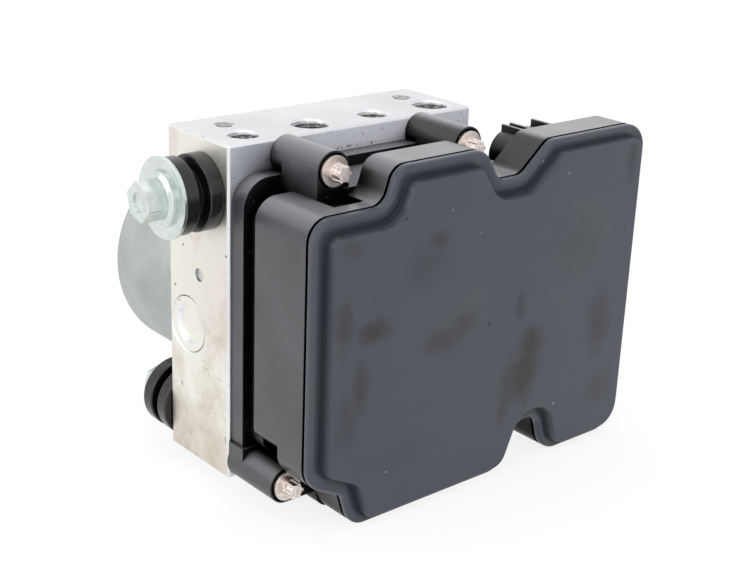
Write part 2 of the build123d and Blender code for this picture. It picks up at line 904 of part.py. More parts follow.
with BuildPart() as coil_yokes:
    with BuildSketch(across(front)):
        with Locations(*valve_spots):
            Circle(yoke_radius)
    extrude(amount=yoke_length)
    with BuildSketch(across(front - yoke_wall)):
        with Locations(*valve_spots):
            Circle(yoke_radius - yoke_wall)
    extrude(amount=yoke_length - 2 * yoke_wall, mode=Mode.SUBTRACT)
    with BuildSketch(across(front)):
        with Locations(*valve_spots):
            Circle(tube_radius + free_gap)
    extrude(amount=yoke_length, mode=Mode.SUBTRACT)
    with BuildSketch(across(front - yoke_length + yoke_wall)):
        with Locations(*coil_pin_spots):
            Circle(coil_pin_radius + free_gap)
    extrude(amount=yoke_wall, mode=Mode.SUBTRACT)
coil_yokes.part.label = "coil_yokes"
export_step(coil_yokes.part, "parts/coil_yokes.step")

with BuildPart() as coil_windings:
    with BuildSketch(across(front - yoke_wall)):
        with Locations(*valve_spots):
            Circle(coil_radius)
        with Locations(*valve_spots):
            Circle(tube_radius + free_gap, mode=Mode.SUBTRACT)
    extrude(amount=yoke_length - 2 * yoke_wall)
coil_windings.part.label = "coil_windings"
export_step(coil_windings.part, "parts/coil_windings.step")

with BuildPart() as coil_pins:
    with BuildSketch(across(front - yoke_length + yoke_wall)):
        with Locations(*coil_pin_spots):
            Circle(coil_pin_radius)
    extrude(amount=front - yoke_length + yoke_wall - board_back + board_thickness + pin_poke)
coil_pins.part.label = "coil_pins"
export_step(coil_pins.part, "parts/coil_pins.step")

# ================= circuit board =================
with BuildPart() as circuit_board:
    with BuildSketch(across(board_back)):
        with BuildLine():
            rounded_outline(inset_corners(full_corners, [board_inset] * len(full_corners)))
        make_face()
        with Locations(*coil_pin_spots):
            Circle(coil_pin_radius + press_gap, mode=Mode.SUBTRACT)
        with Locations(*pin_spots):
            Circle(pin_size, mode=Mode.SUBTRACT)
        with Locations(*blade_spots):
            Rectangle(blade_width + free_gap, blade_thickness + free_gap, mode=Mode.SUBTRACT)
        with Locations((0, terminal_z)):
            Circle(terminal_pin_radius + press_gap, mode=Mode.SUBTRACT)
    extrude(amount=board_thickness)
circuit_board.part.label = "circuit_board"
export_step(circuit_board.part, "parts/circuit_board.step")

with BuildPart() as board_chips:
    with BuildSketch(across(board_back - board_thickness)):
        with Locations(*chip_spots):
            Rectangle(chip_size, chip_size)
        with Locations(*driver_spots):
            Rectangle(driver_size, driver_size)
    extrude(amount=chip_height)
board_chips.part.label = "board_chips"
export_step(board_chips.part, "parts/board_chips.step")

with BuildPart() as board_posts:
    with BuildSketch(across(raised_back - wall)):
        with Locations(*post_spots):
            Circle(post_radius)
    extrude(amount=raised_back - wall - board_back)
board_posts.part.label = "board_posts"
export_step(board_posts.part, "parts/board_posts.step")

with BuildPart() as connector_pins:
    with BuildSketch(across(raised_back + pin_length - wall)):
        with Locations(*pin_spots):
            Rectangle(pin_size, pin_size)
        with Locations(*blade_spots):
            Rectangle(blade_width, blade_thickness)
    extrude(amount=pin_length + board_thickness + pin_poke - wall - (board_back - raised_back))
connector_pins.part.label = "connector_pins"
export_step(connector_pins.part, "parts/connector_pins.step")

# ================= screws =================
with BuildPart() as housing_screws:
    with BuildSketch(across(front + screw_depth - free_gap)):
        with Locations(*tower_spots):
            Circle(screw_radius)
    extrude(amount=front + screw_depth - free_gap - tower_front)
    with BuildSketch(across(tower_front)):
        with Locations(*tower_spots):
            Circle(screw_flange_radius)
    extrude(amount=screw_flange_thickness)
    with BuildSketch(across(tower_front - screw_flange_thickness)):
        with Locations(*tower_spots):
            Circle(screw_collar_radius)
    extrude(amount=screw_collar_height)
    with BuildSketch(across(tower_front - screw_flange_thickness)):
        with Locations(*tower_spots):
            Circle(screw_lobe_radius)
            with PolarLocations(screw_lobe_radius, 6):
                Circle(screw_lobe_bump)
    extrude(amount=screw_head_height)
housing_screws.part.label = "housing_screws"
export_step(housing_screws.part, "parts/housing_screws.step")

# ================= pump =================
with BuildPart() as pump_caps:
    for direction in (-1, 1):
        with BuildSketch(Plane.YZ.offset(direction * (side - cap_sunk))):
            with Locations((pump_y, pump_z)):
                Circle(cap_radius - press_gap)
        extrude(amount=-direction * (cap_depth - cap_sunk))
        with BuildSketch(Plane.YZ.offset(direction * (side - cap_sunk))):
            with Locations((pump_y, pump_z)):
                Circle(cap_radius - cap_rim)
        extrude(amount=-direction * cap_dish, taper=cap_dish_slope, mode=Mode.SUBTRACT)
pump_caps.part.label = "pump_caps"
export_step(pump_caps.part, "parts/pump_caps.step")

with BuildPart() as pump_sleeves:
    for direction in (-1, 1):
        with BuildSketch(Plane.YZ.offset(direction * sleeve_outer_end)):
            with Locations((pump_y, pump_z)):
                Circle(pump_bore_radius - press_gap)
        extrude(amount=-direction * (sleeve_outer_end - sleeve_inner_end))
        with BuildSketch(Plane.YZ.offset(direction * sleeve_inner_end)):
            with Locations((pump_y, pump_z)):
                Circle(piston_radius + running_gap)
        extrude(amount=direction * (sleeve_bore_end - sleeve_inner_end), mode=Mode.SUBTRACT)
        # inlet groove over the suction drilling, outlet groove over the pressure drilling
        for x in (store_x, sleeve_groove_x):
            with BuildSketch(Plane.YZ.offset(direction * (x - sleeve_groove_reach))):
                with Locations((pump_y, pump_z)):
                    Circle(pump_bore_radius)
                    Circle(pump_bore_radius - sleeve_groove_depth, mode=Mode.SUBTRACT)
            extrude(amount=direction * 2 * sleeve_groove_reach, mode=Mode.SUBTRACT)
            with BuildSketch(Plane.XY.offset(pump_z - pump_bore_radius)):
                with Locations((direction * x, pump_y)):
                    Circle(sleeve_port_radius)
            extrude(amount=pump_bore_radius, mode=Mode.SUBTRACT)
pump_sleeves.part.label = "pump_sleeves"
export_step(pump_sleeves.part, "parts/pump_sleeves.step")

for name, direction in (("left", -1), ("right", 1)):
    with BuildPart() as pump_piston:
        with BuildSketch(Plane.YZ.offset(direction * piston_face)):
            with Locations((pump_y, pump_z)):
                Circle(piston_radius)
        extrude(amount=direction * piston_length)
        with BuildSketch(Plane.YZ.offset(direction * (piston_face + piston_length))):
            with Locations((pump_y, pump_z)):
                Circle(piston_tail_radius)
        extrude(amount=direction * piston_tail_length)
    node = "pump_piston_" + name
    pump_piston.part.label = node
    export_step(pump_piston.part, "parts/" + node + ".step")

with BuildPart() as pump_springs:
    for direction in (-1, 1):
        with BuildLine():
            coil = Helix(
                pitch=pump_spring_pitch,
                height=pump_spring_length,
                radius=pump_spring_radius,
                center=(direction * (sleeve_bore_end - pump_spring_wire), pump_y, pump_z),
                direction=(-direction, 0, 0),
            )
        with BuildSketch(Plane(origin=coil @ 0, z_dir=coil % 0)):
            Circle(pump_spring_wire)
        sweep(path=coil, is_frenet=True)
pump_springs.part.label = "pump_springs"
export_step(pump_springs.part, "parts/pump_springs.step")

# ================= accumulators =================
with BuildPart() as store_caps:
    with BuildSketch(Plane.XY):
        with Locations((-store_x, store_y), (store_x, store_y)):
            Circle(store_cap_radius - press_gap)
    extrude(amount=store_cap_depth)
    with BuildSketch(Plane.XY):
        with Locations((-store_x, store_y), (store_x, store_y)):
            Circle(store_vent_radius)
    extrude(amount=store_cap_depth, mode=Mode.SUBTRACT)
store_caps.part.label = "accumulator_caps"
export_step(store_caps.part, "parts/accumulator_caps.step")

for name, direction in (("left", -1), ("right", 1)):
    with BuildPart() as store_piston:
        with BuildSketch(Plane.XY.offset(store_piston_low)):
            with Locations((direction * store_x, store_y)):
                Circle(store_radius - running_gap)
        extrude(amount=store_piston_height)
        with BuildSketch(Plane.XY.offset(store_piston_low)):
            with Locations((direction * store_x, store_y)):
                Circle(store_radius - running_gap - store_piston_wall)
        extrude(amount=store_piston_height - store_piston_wall, mode=Mode.SUBTRACT)
    node = "accumulator_piston_" + name
    store_piston.part.label = node
    export_step(store_piston.part, "parts/" + node + ".step")

    with BuildPart() as store_spring:
        with BuildLine():
            coil = Helix(
                pitch=store_spring_length / store_spring_turns,
                height=store_spring_length,
                radius=store_spring_radius - store_spring_wire,
                center=(direction * store_x, store_y, store_cap_depth + store_spring_wire),
            )
        with BuildSketch(Plane(origin=coil @ 0, z_dir=coil % 0)):
            Circle(store_spring_wire / 2)
        sweep(path=coil, is_frenet=True)
    node = "accumulator_spring_" + name
    store_spring.part.label = node
    export_step(store_spring.part, "parts/" + node + ".step")

# ================= ball plugs =================
with BuildPart() as ball_plugs:
    with BuildSketch(Plane.XY.offset(block_height - ball_sunk)):
        with Locations((drill_first_x, drill_y), (drill_second_x, drill_y)):
            Circle(ball_radius - press_gap)
    extrude(amount=-ball_plug_length)
    with BuildSketch(Plane.XY):
        with Locations(*[(x, front + valve_bore_depth / 2) for x in valve_columns]):
            Circle(ball_radius - press_gap)
    extrude(amount=ball_plug_length)
    with BuildSketch(Plane.YZ.offset(-side + side_plug_sunk)):
        with Locations((side_plug_y, side_plug_z)):
            Circle(side_plug_radius - press_gap)
    extrude(amount=side_plug_depth - side_plug_sunk)
ball_plugs.part.label = "ball_plugs"
export_step(ball_plugs.part, "parts/ball_plugs.step")

# ================= motor =================
with BuildPart() as motor_can:
    with BuildSketch(across(motor_far)):
        with Locations((0, motor_z)):
            Circle(motor_radius)
    extrude(amount=motor_length)
    far_edge = motor_can.edges().filter_by(GeomType.CIRCLE).sort_by(Axis.Y)[-1]
    fillet(far_edge, radius=motor_edge)
    with BuildSketch(across(motor_far + bush_length)):
        with Locations((0, motor_z)):
            Circle(bush_radius + motor_wall)
    extrude(amount=bush_length)
    with BuildSketch(across(back + ear_thickness)):
        with Locations(*ear_spots):
            Circle(ear_radius)
    extrude(amount=ear_thickness)
    with BuildSketch(across(motor_far - motor_wall)):
        with Locations((0, motor_z)):
            Circle(motor_radius - motor_wall)
    extrude(amount=motor_length - motor_wall, mode=Mode.SUBTRACT)
    with BuildSketch(across(motor_far + bush_length - motor_wall / 2)):
        with Locations((0, motor_z)):
            Circle(bush_radius)
    extrude(amount=bush_length + motor_wall, mode=Mode.SUBTRACT)
    with BuildSketch(across(back + ear_thickness)):
        with Locations(*ear_spots):
            Circle(ear_screw_radius + free_gap)
    extrude(amount=ear_thickness, mode=Mode.SUBTRACT)
motor_can.part.label = "motor_can"
export_step(motor_can.part, "parts/motor_can.step")

with BuildPart() as motor_screws:
    with BuildSketch(across(back + ear_thickness)):
        with Locations(*ear_spots):
            Circle(ear_screw_radius)
    extrude(amount=ear_thickness + ear_screw_depth - free_gap)
    with BuildSketch(across(back + ear_thickness + ear_head_height)):
        with Locations(*ear_spots):
            Circle(2 * ear_screw_radius)
    extrude(amount=ear_head_height)
motor_screws.part.label = "motor_screws"
export_step(motor_screws.part, "parts/motor_screws.step")

with BuildPart() as motor_magnets:
    with BuildSketch(across(magnet_far)):
        with Locations((0, motor_z)):
            Circle(motor_radius - motor_wall - press_gap)
            Circle(core_radius + magnet_gap, mode=Mode.SUBTRACT)
            Rectangle(2 * motor_radius, magnet_split, mode=Mode.SUBTRACT)
    extrude(amount=magnet_length)
motor_magnets.part.label = "motor_magnets"
export_step(motor_magnets.part, "parts/motor_magnets.step")

with BuildPart() as motor_bush:
    with BuildSketch(across(motor_far + bush_length - motor_wall / 2)):
        with Locations((0, motor_z)):
            Circle(bush_radius - press_gap)
            Circle(shaft_radius + running_gap, mode=Mode.SUBTRACT)
    extrude(amount=bush_length)
motor_bush.part.label = "motor_bush"
export_step(motor_bush.part, "parts/motor_bush.step")

with BuildPart() as motor_bearing:
    with BuildSketch(across(back)):
        with Locations((0, motor_z)):
            Circle(bearing_radius - press_gap)
            Circle(shaft_radius + running_gap, mode=Mode.SUBTRACT)
    extrude(amount=bearing_length)
motor_bearing.part.label = "motor_bearing"
export_step(motor_bearing.part, "parts/motor_bearing.step")

with BuildPart() as brush_plate:
    with BuildSketch(across(back + brush_plate_thickness)):
        with Locations((0, motor_z)):
            Circle(motor_radius - motor_wall - press_gap)
            Circle(commutator_radius, mode=Mode.SUBTRACT)
        with Locations((0, terminal_z)):
            Circle(terminal_radius, mode=Mode.SUBTRACT)
    extrude(amount=brush_plate_thickness)
    with BuildSketch(across(brush_middle + brush_size / 2 + brush_wall)):
        with Locations(*[(direction * brush_box_middle, motor_z) for direction in (-1, 1)]):
            Rectangle(brush_box_length, brush_size + 2 * brush_wall)
    extrude(amount=brush_middle + brush_size / 2 + brush_wall - back - brush_plate_thickness)
    with BuildSketch(across(brush_middle + brush_size / 2)):
        with Locations(*[(direction * brush_box_middle, motor_z) for direction in (-1, 1)]):
            Rectangle(brush_box_length, brush_size)
    extrude(amount=brush_size, mode=Mode.SUBTRACT)
brush_plate.part.label = "brush_plate"
export_step(brush_plate.part, "parts/brush_plate.step")

with BuildPart() as brushes:
    with BuildSketch(across(brush_middle + brush_size / 2)):
        with Locations(*[(direction * brush_box_middle, motor_z) for direction in (-1, 1)]):
            Rectangle(brush_box_length, brush_size)
        with Locations((0, motor_z)):
            Circle(commutator_radius + free_gap, mode=Mode.SUBTRACT)
    extrude(amount=brush_size)
brushes.part.label = "motor_brushes"
export_step(brushes.part, "parts/motor_brushes.step")

with BuildPart() as motor_shaft:
    with BuildSketch(across(motor_far + bush_length - motor_wall / 2 - free_gap)):
        with Locations((0, motor_z)):
            Circle(shaft_radius)
    extrude(amount=motor_far + bush_length - motor_wall / 2 - free_gap - shaft_front)
    with BuildSketch(across(pump_y + eccentric_length / 2)):
        with Locations((0, motor_z + eccentric_offset)):
            Circle(eccentric_radius)
    extrude(amount=eccentric_length)
motor_shaft.part.label = "motor_shaft"
export_step(motor_shaft.part, "parts/motor_shaft.step")

with BuildPart() as eccentric_ring:
    with BuildSketch(across(pump_y + eccentric_length / 2)):
        with Locations((0, motor_z + eccentric_offset)):
            Circle(eccentric_ring_radius)
            Circle(eccentric_radius + press_gap, mode=Mode.SUBTRACT)
    extrude(amount=eccentric_length)
eccentric_ring.part.label = "eccentric_ring"
export_step(eccentric_ring.part, "parts/eccentric_ring.step")

with BuildPart() as commutator:
    with BuildSketch(across(commutator_back + commutator_length)):
        with Locations((0, motor_z)):
            Circle(commutator_radius)
            Circle(shaft_radius + press_gap, mode=Mode.SUBTRACT)
    extrude(amount=commutator_length)
commutator.part.label = "commutator"
export_step(commutator.part, "parts/commutator.step")

with BuildPart() as armature_core:
    with BuildSketch(across(core_back + core_length)):
        with Locations((0, motor_z)):
            Circle(core_radius)
            Circle(shaft_radius + press_gap, mode=Mode.SUBTRACT)
            with PolarLocations(core_radius, core_slots):
                Rectangle(core_slot_depth, core_slot_width, mode=Mode.SUBTRACT)
    extrude(amount=core_length)
armature_core.part.label = "armature_core"
export_step(armature_core.part, "parts/armature_core.step")

with BuildPart() as armature_winding:
    for start in (core_back + core_length + winding_length, core_back):
        with BuildSketch(across(start)):
            with Locations((0, motor_z)):
                Circle(winding_radius)
                Circle(commutator_radius, mode=Mode.SUBTRACT)
        extrude(amount=winding_length)
armature_winding.part.label = "armature_winding"
export_step(armature_winding.part, "parts/armature_winding.step")

with BuildPart() as motor_terminal:
    with BuildSketch(across(back + brush_plate_thickness)):
        with Locations((0, terminal_z)):
            Circle(terminal_radius - press_gap)
    extrude(amount=block_depth + brush_plate_thickness)
    with BuildSketch(across(front)):
        with Locations((0, terminal_z)):
            Circle(terminal_pin_radius)
    extrude(amount=front - board_back + board_thickness + pin_poke)
motor_terminal.part.label = "motor_terminal"
export_step(motor_terminal.part, "parts/motor_terminal.step")

# ================= rubber mounts =================
mount_planes = [
    ("side", Plane.YZ.offset(-side), (mount_y, mount_z), -1, washer_radius),
    ("back", across(back), (back_mount_x, back_mount_z), -1, small_washer_radius),
]
for name, face, spot, out, disc_radius in mount_planes:
    with BuildPart() as rubber:
        with BuildSketch(face):
            with Locations(spot):
                Circle(rubber_radius)
                Circle(rubber_bore + press_gap, mode=Mode.SUBTRACT)
        extrude(amount=out * rubber_length)
        with BuildSketch(face.offset(out * rubber_ring)):
            with Locations(spot):
                Circle(rubber_radius)
                Circle(rubber_groove_radius, mode=Mode.SUBTRACT)
        extrude(amount=out * rubber_groove, mode=Mode.SUBTRACT)
        rings = rubber.edges().filter_by(GeomType.CIRCLE)
        fillet([e for e in rings if e.radius > rubber_radius - press_gap], radius=rubber_round)
    node = name + "_grommet"
    rubber.part.label = node
    export_step(rubber.part, "parts/" + node + ".step")

    with BuildPart() as bush:
        with BuildSketch(face):
            with Locations(spot):
                Circle(rubber_bore)
                Circle(rubber_bore - bush_wall, mode=Mode.SUBTRACT)
        extrude(amount=out * rubber_length)
    node = name + "_bush"
    bush.part.label = node
    export_step(bush.part, "parts/" + node + ".step")

    with BuildPart() as washer:
        with BuildSketch(face.offset(out * rubber_length)):
            with Locations(spot):
                Circle(disc_radius)
                Circle(rubber_bore - bush_wall, mode=Mode.SUBTRACT)
        extrude(amount=out * washer_thickness)
    node = name + "_washer"
    washer.part.label = node
    export_step(washer.part, "parts/" + node + ".step")

    with BuildPart() as bolt:
        stack = rubber_length + washer_thickness
        with BuildSketch(face.offset(-out * (bolt_depth - free_gap))):
            with Locations(spot):
                Circle(bolt_radius)
        extrude(amount=out * (bolt_depth - free_gap + stack))
        with BuildSketch(face.offset(out * stack)):
            with Locations(spot):
                Circle(min(head_flange_radius, disc_radius - head_flange_margin))
        extrude(amount=out * head_flange_thickness)
        with BuildSketch(face.offset(out * (stack + head_flange_thickness))):
            with Locations(spot):
                Circle(min(head_flange_radius, disc_radius - head_flange_margin))
        extrude(amount=out * head_cone_height, taper=head_cone_slope)
        with BuildSketch(face.offset(out * (stack + head_flange_thickness))):
            with Locations(spot):
                RegularPolygon(
                    radius=hex_flats / 2,
                    side_count=6,
                    major_radius=False,
                    rotation=hex_turn,
                )
        extrude(amount=out * hex_height)
        with BuildSketch(face.offset(out * (stack + head_flange_thickness + hex_height))):
            with Locations(spot):
                Circle(hex_dish_radius)
        extrude(amount=-out * hex_dish, mode=Mode.SUBTRACT)
    node = name + "_bolt"
    bolt.part.label = node
    export_step(bolt.part, "parts/" + node + ".step")
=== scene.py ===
# %% [markdown]
# # An ABS brake module, dressed for its portrait
# The object is a milled aluminium valve block with a pump motor behind it and a black
# plastic controller box in front. The solid model already has its real sizes. This
# script loads it as a fixed frame, gives every piece a believable surface, adds the fine
# shapes that are too small for the solid model, and sets the camera and the light.

import json

import bpy
import numpy as np
from math import cos, pi, radians, sin
from mathutils import Matrix, Vector


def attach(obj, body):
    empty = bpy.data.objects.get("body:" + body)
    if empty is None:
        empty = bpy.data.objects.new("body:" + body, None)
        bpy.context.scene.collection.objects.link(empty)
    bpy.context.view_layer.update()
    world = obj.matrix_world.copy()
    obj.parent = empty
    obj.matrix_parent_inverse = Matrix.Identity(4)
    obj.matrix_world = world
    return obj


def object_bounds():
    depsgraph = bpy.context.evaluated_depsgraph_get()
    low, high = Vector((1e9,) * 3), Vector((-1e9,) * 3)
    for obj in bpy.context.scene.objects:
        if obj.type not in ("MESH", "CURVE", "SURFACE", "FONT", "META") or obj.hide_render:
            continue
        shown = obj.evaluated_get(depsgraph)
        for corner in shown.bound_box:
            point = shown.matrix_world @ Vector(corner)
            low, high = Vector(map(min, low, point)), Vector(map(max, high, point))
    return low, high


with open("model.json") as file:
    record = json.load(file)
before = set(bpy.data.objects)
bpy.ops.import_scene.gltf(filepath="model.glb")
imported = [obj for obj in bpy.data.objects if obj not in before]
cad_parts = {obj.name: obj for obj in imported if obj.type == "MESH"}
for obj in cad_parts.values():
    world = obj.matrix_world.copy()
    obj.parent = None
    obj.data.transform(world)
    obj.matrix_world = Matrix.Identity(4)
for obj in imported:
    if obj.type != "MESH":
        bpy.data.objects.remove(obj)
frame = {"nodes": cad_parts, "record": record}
parts = frame["nodes"]
print("nodes loaded:", len(parts))

# %% Remember the frame's size
size_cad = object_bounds()
print("CAD box", size_cad)

# %% [markdown]
# ## Units and colour
# Everything is in metres, but the object is thought of in millimetres, so one helper
# turns millimetres into metres. Colours are written as the hex values that a person
# reads off a paint chart. Shaders work with linear light, so a second helper converts.

# %% Unit and colour helpers
MM = 0.001


def linear(code):
    """sRGB hex such as '#c0ffee' to linear RGBA: each channel through the sRGB curve."""
    channels = [int(code[i : i + 2], 16) / 255 for i in (1, 3, 5)]
    values = [c / 12.92 if c <= 0.04045 else ((c + 0.055) / 1.055) ** 2.4 for c in channels]
    return (*values, 1.0)


print("mid grey in linear light:", round(linear("#808080")[0], 3))

# %% [markdown]
# ## A small kit for materials
# A material is a tree of nodes. One function adds a node and fills its sockets, so that
# each recipe below stays short. Patterns use Object coordinates: the objects all sit at
# the origin unscaled, so a noise scale of 1000 means detail about one millimetre wide.


# %% Node helpers
def add(tree, kind, inputs=None, **settings):
    """One shader node: settings are its own properties, inputs its sockets or links."""
    node = tree.nodes.new(kind)
    for key, value in settings.items():
        setattr(node, key, value)
    for key, value in (inputs or {}).items():
        if isinstance(value, bpy.types.NodeSocket):
            tree.links.new(value, node.inputs[key])
        else:
            node.inputs[key].default_value = value
    return node


def new_material(name):
    """An empty material with a Principled shader, and its tree."""
    material = bpy.data.materials.new(name)
    material.use_nodes = True
    tree = material.node_tree
    shader = tree.nodes["Principled BSDF"]
    return material, tree, shader


def place(tree, stretch=(1, 1, 1)):
    """Object coordinates in metres, scaled along each axis before a pattern reads them."""
    coordinates = add(tree, "ShaderNodeTexCoord")
    source = coordinates.outputs["Object"]
    mapping = add(tree, "ShaderNodeMapping", {"Vector": source, "Scale": stretch})
    return mapping.outputs["Vector"]


def noise(tree, vector, per_metre, detail=3.0, rough=0.5, distortion=0.0):
    """Fractal noise between 0 and 1 with about per_metre features along a metre."""
    sockets = {"Vector": vector, "Scale": per_metre, "Detail": detail}
    sockets |= {"Roughness": rough, "Distortion": distortion}
    node = add(tree, "ShaderNodeTexNoise", sockets)
    return node.outputs["Fac"]


def band(tree, value, low, high, to_low=0.0, to_high=1.0):
    """A value carried from low..high to to_low..to_high and held at both ends."""
    node = add(
        tree,
        "ShaderNodeMapRange",
        {"Value": value, "From Min": low, "From Max": high, "To Min": to_low, "To Max": to_high},
    )
    return node.outputs["Result"]


def blend_colour(tree, factor, first, second, mode="MIX"):
    """Mix of two colours by a factor."""
    node = add(tree, "ShaderNodeMix", data_type="RGBA", blend_type=mode)
    for socket, value in ((0, factor), (6, first), (7, second)):
        if isinstance(value, bpy.types.NodeSocket):
            tree.links.new(value, node.inputs[socket])
        else:
            node.inputs[socket].default_value = value
    return node.outputs[2]


def combine(tree, operation, first, second):
    """Arithmetic on two values."""
    node = add(tree, "ShaderNodeMath", operation=operation)
    for socket, value in ((0, first), (1, second)):
        if isinstance(value, bpy.types.NodeSocket):
            tree.links.new(value, node.inputs[socket])
        else:
            node.inputs[socket].default_value = value
    return node.outputs[0]


def times(tree, first, second):
    """One value or mask scaled by another."""
    return combine(tree, "MULTIPLY", first, second)


def clouded(tree, mask, low, high, first, second):
    """Two hex colours, mixed by how far a noise mask has gone from low to high."""
    return blend_colour(tree, band(tree, mask, low, high), linear(first), linear(second))


print("node helpers ready")

# %% [markdown]
# ## Edges, corners and places
# Real moulded and milled edges are slightly round, and they wear first. A Bevel node gives both:
# its normal leans away from the true one only near an edge, and the same lean marks edges for a
# paler colour that is partly wear and partly painted highlight.
# How much sky a point sees tells slots and corners from open faces, and that is where painted shade
# goes. Soft ellipsoids put a mark where it belongs on the part, whatever the mesh is.


# %% Rounded edges, and paler edges from wear and painted highlight
def soften(tree, shader, height=None, depth=0.0, edge=0.25 * MM):
    """Rounded-looking edges from a Bevel node, with an optional bump of a real depth."""
    rounded = add(tree, "ShaderNodeBevel", {"Radius": edge}, samples=6)
    normal = rounded.outputs["Normal"]
    if height is not None:
        bump = add(tree, "ShaderNodeBump", {"Height": height, "Distance": depth, "Normal": normal})
        normal = bump.outputs["Normal"]
    tree.links.new(normal, shader.inputs["Normal"])


def openness(tree, reach, low, high, samples=12):
    """1 in the open, falling to 0 in slots and corners, judged within reach (mm)."""
    node = add(tree, "ShaderNodeAmbientOcclusion", {"Distance": reach * MM}, samples=samples)
    return band(tree, node.outputs["AO"], low, high)


def edge_wear_highlight(tree, radius, begin=0.02, full=0.12):
    """1 on outer edges, for a paler colour partly from wear and partly painted highlight; 0 on
    flats and in corners: how far a rounded normal leans.
    """
    rounded = add(tree, "ShaderNodeBevel", {"Radius": radius}, samples=8)
    geometry = add(tree, "ShaderNodeNewGeometry")
    dot = add(
        tree,
        "ShaderNodeVectorMath",
        {0: rounded.outputs["Normal"], 1: geometry.outputs["Normal"]},
        operation="DOT_PRODUCT",
    )
    lean = band(tree, dot.outputs["Value"], 1 - full, 1 - begin, 1.0, 0.0)
    outer = openness(tree, 1.6, 0.72, 0.9, 8)
    return times(tree, lean, outer)


print("edge helpers ready")


# %% Marks at a place, and the way a face looks
def spot(tree, centre, reach, wobble=0.0, inner=0.55, outer=1.25):
    """1 inside a soft ellipsoid at centre (mm) with half sizes reach (mm), 0 outside.

    An axis with a reach of 0 is left out. The edge moves in and out by wobble.
    """
    scale = [1 / (r * MM) if r else 0.0 for r in reach]
    shift = [-c / r if r else 0.0 for c, r in zip(centre, reach)]
    coordinates = add(tree, "ShaderNodeTexCoord")
    mapping = add(
        tree,
        "ShaderNodeMapping",
        {"Vector": coordinates.outputs["Object"], "Location": shift, "Scale": scale},
    )
    length = add(tree, "ShaderNodeVectorMath", {0: mapping.outputs["Vector"]}, operation="LENGTH")
    ragged = combine(tree, "ADD", length.outputs["Value"], wobble)
    return band(tree, ragged, inner, outer, 1.0, 0.0)


def spots(tree, rows, wobble=0.0, inner=0.55, outer=1.25):
    """The strongest of several spots; each row is centre, reach and strength."""
    total = 0.0
    for centre, reach, strength in rows:
        one = times(tree, spot(tree, centre, reach, wobble, inner, outer), strength)
        total = combine(tree, "MAXIMUM", total, one)
    return total


def facing(tree, axis, low=0.6, high=0.9):
    """1 where the surface faces along the axis, 0 where it turns away."""
    geometry = add(tree, "ShaderNodeNewGeometry")
    dot = add(
        tree,
        "ShaderNodeVectorMath",
        {0: geometry.outputs["Normal"], 1: axis},
        operation="DOT_PRODUCT",
    )
    return band(tree, dot.outputs["Value"], low, high)


def along(tree, axis):
    """One Object coordinate, in metres."""
    coordinates = add(tree, "ShaderNodeTexCoord")
    split = add(tree, "ShaderNodeSeparateXYZ", {"Vector": coordinates.outputs["Object"]})
    return split.outputs[axis]


print("place helpers ready")

# %% [markdown]
# ## Milled aluminium
# The valve block is sawn from an extruded bar and milled on all faces. Close up that
# leaves a fine directional grain; from a step away it is a soft, almost white sheen with
# faint stains from handling and brake fluid. The grain is a noise stretched along one
# axis, and the stains are broad, weak patches in the colour and the roughness.

# %% Aluminium, masks
block_metal, tree, shader = new_material("milled_aluminium")
left_side = facing(tree, (-1, 0, 0))
top_side = facing(tree, (0, 0, 1))
front_side = facing(tree, (0, -1, 0))
patches = noise(tree, place(tree), 55, 5, 0.62, 0.8)
clouds = noise(tree, place(tree), 22, 3, 0.5)
fine = noise(tree, place(tree), 1500, 3, 0.6)
stain_top = 55 * MM
low_down = band(tree, along(tree, "Z"), 0.0, stain_top, 1.0, 0.0)
print("masks made for", block_metal.name)

# %% Aluminium, one colour for each way it faces, with painted shade on top
cool = clouded(tree, clouds, 0.35, 0.65, "#f3f4fb", "#e6e9f2")
warm = clouded(tree, clouds, 0.35, 0.65, "#ecebe2", "#e2ddd6")
# the top is a darker grey than the sides: painted shade that keeps the top, under the lamps above,
# from turning white
pale = clouded(tree, clouds, 0.35, 0.65, "#dedede", "#cfcfd2")
colour = blend_colour(tree, left_side, cool, warm)
colour = blend_colour(tree, top_side, colour, pale)
print("colour mixed")

# %% [markdown]
# Old brake fluid leaves brown patches on the left side, more of them low down. Small
# casting pores and handling marks are dark pits and freckles. They are thresholds of
# noise, because their places do not matter and their size does.

# %% Aluminium, stains, pits and freckles
stain_low, stain_full = 0.5, 0.8
stained = combine(tree, "ADD", patches, times(tree, low_down, 0.16))
brown = times(tree, band(tree, stained, stain_low, stain_full), times(tree, left_side, 0.55))
colour = blend_colour(tree, brown, colour, linear("#b39f8c"))
pores = band(tree, noise(tree, place(tree), 620, 2, 0.5), 0.68, 0.74)
colour = blend_colour(tree, times(tree, pores, 0.45), colour, linear("#8a8078"))
elsewhere = combine(tree, "SUBTRACT", 0.3, left_side)
freckle = times(tree, band(tree, fine, 0.60, 0.72), elsewhere)
colour = blend_colour(tree, freckle, colour, linear("#8f92a2"))
print("stains and pits mixed")

